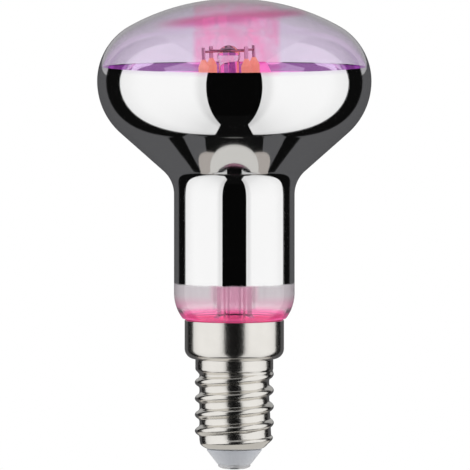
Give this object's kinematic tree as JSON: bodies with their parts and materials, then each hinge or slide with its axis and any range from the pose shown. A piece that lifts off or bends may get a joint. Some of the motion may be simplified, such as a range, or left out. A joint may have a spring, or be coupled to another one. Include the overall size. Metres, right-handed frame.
{
  "type": "reflector grow light bulb",
  "caption": "Reflector grow lamp with a small screw cap: clear domed glass over a mirrored bowl and neck, upright light filaments on a glass stem, driver parts inside the cap",
  "frame": {"origin": "tip of the centre contact, on the lamp's axis", "axes": "+Z from the centre contact up through the cap and the neck to the dome; -Y towards the front of the picture; +X to its right"},
  "size_m": [0.0476, 0.0476, 0.0816],
  "materials": {
    "bulb_glass": "clear blown glass, faintly lilac, smooth",
    "mirror_film": "bright mirror film on the inside of the glass, soft edge at the foot",
    "stem_glass": "clear lead glass, flame softened",
    "filament_coat": "salmon silicone coat over the light chips",
    "nickel_strip": "thin nickel strip, satin",
    "nickel_wire": "drawn nickel wire, satin",
    "cap_plating": "nickel plated brass, slightly warm, soft reflections",
    "cap_cement": "pale bonding cement, tinted by the lamp's light",
    "insulator_body": "pale blue-grey moulded insulator, smooth",
    "contact_metal": "nickel plated rivet, lightly scuffed",
    "solder": "dull dark solder",
    "circuit_board": "green glass-fibre board",
    "black_epoxy": "black moulded epoxy",
    "capacitor_sleeve": "dark shrink sleeve",
    "resistor_coat": "grey-green fireproof coat"
  },
  "bodies": {
    "root": {"glass_bulb": "bulb_glass", "cap_shell": "cap_plating", "insulator": "insulator_body", "centre_contact": "contact_metal", "mirror_coating": "mirror_film", "glass_stem": "stem_glass", "exhaust_tube": "stem_glass", "filament_1": "filament_coat", "filament_2": "filament_coat", "filament_3": "filament_coat", "filament_4": "filament_coat", "end_tabs": "nickel_strip", "anchor_wire_front": "nickel_wire", "anchor_wire_back": "nickel_wire", "cross_wire_left": "nickel_wire", "cross_wire_right": "nickel_wire", "lead_wire_left": "nickel_wire", "lead_wire_right": "nickel_wire", "driver_board": "circuit_board", "rectifier": "black_epoxy", "driver_chip": "black_epoxy", "capacitor": "capacitor_sleeve", "fuse_resistor": "resistor_coat", "live_wire": "nickel_wire", "neutral_wire": "nickel_wire", "cap_cement": "cap_cement", "contact_solder": "solder"}
  },
  "joints": []
}
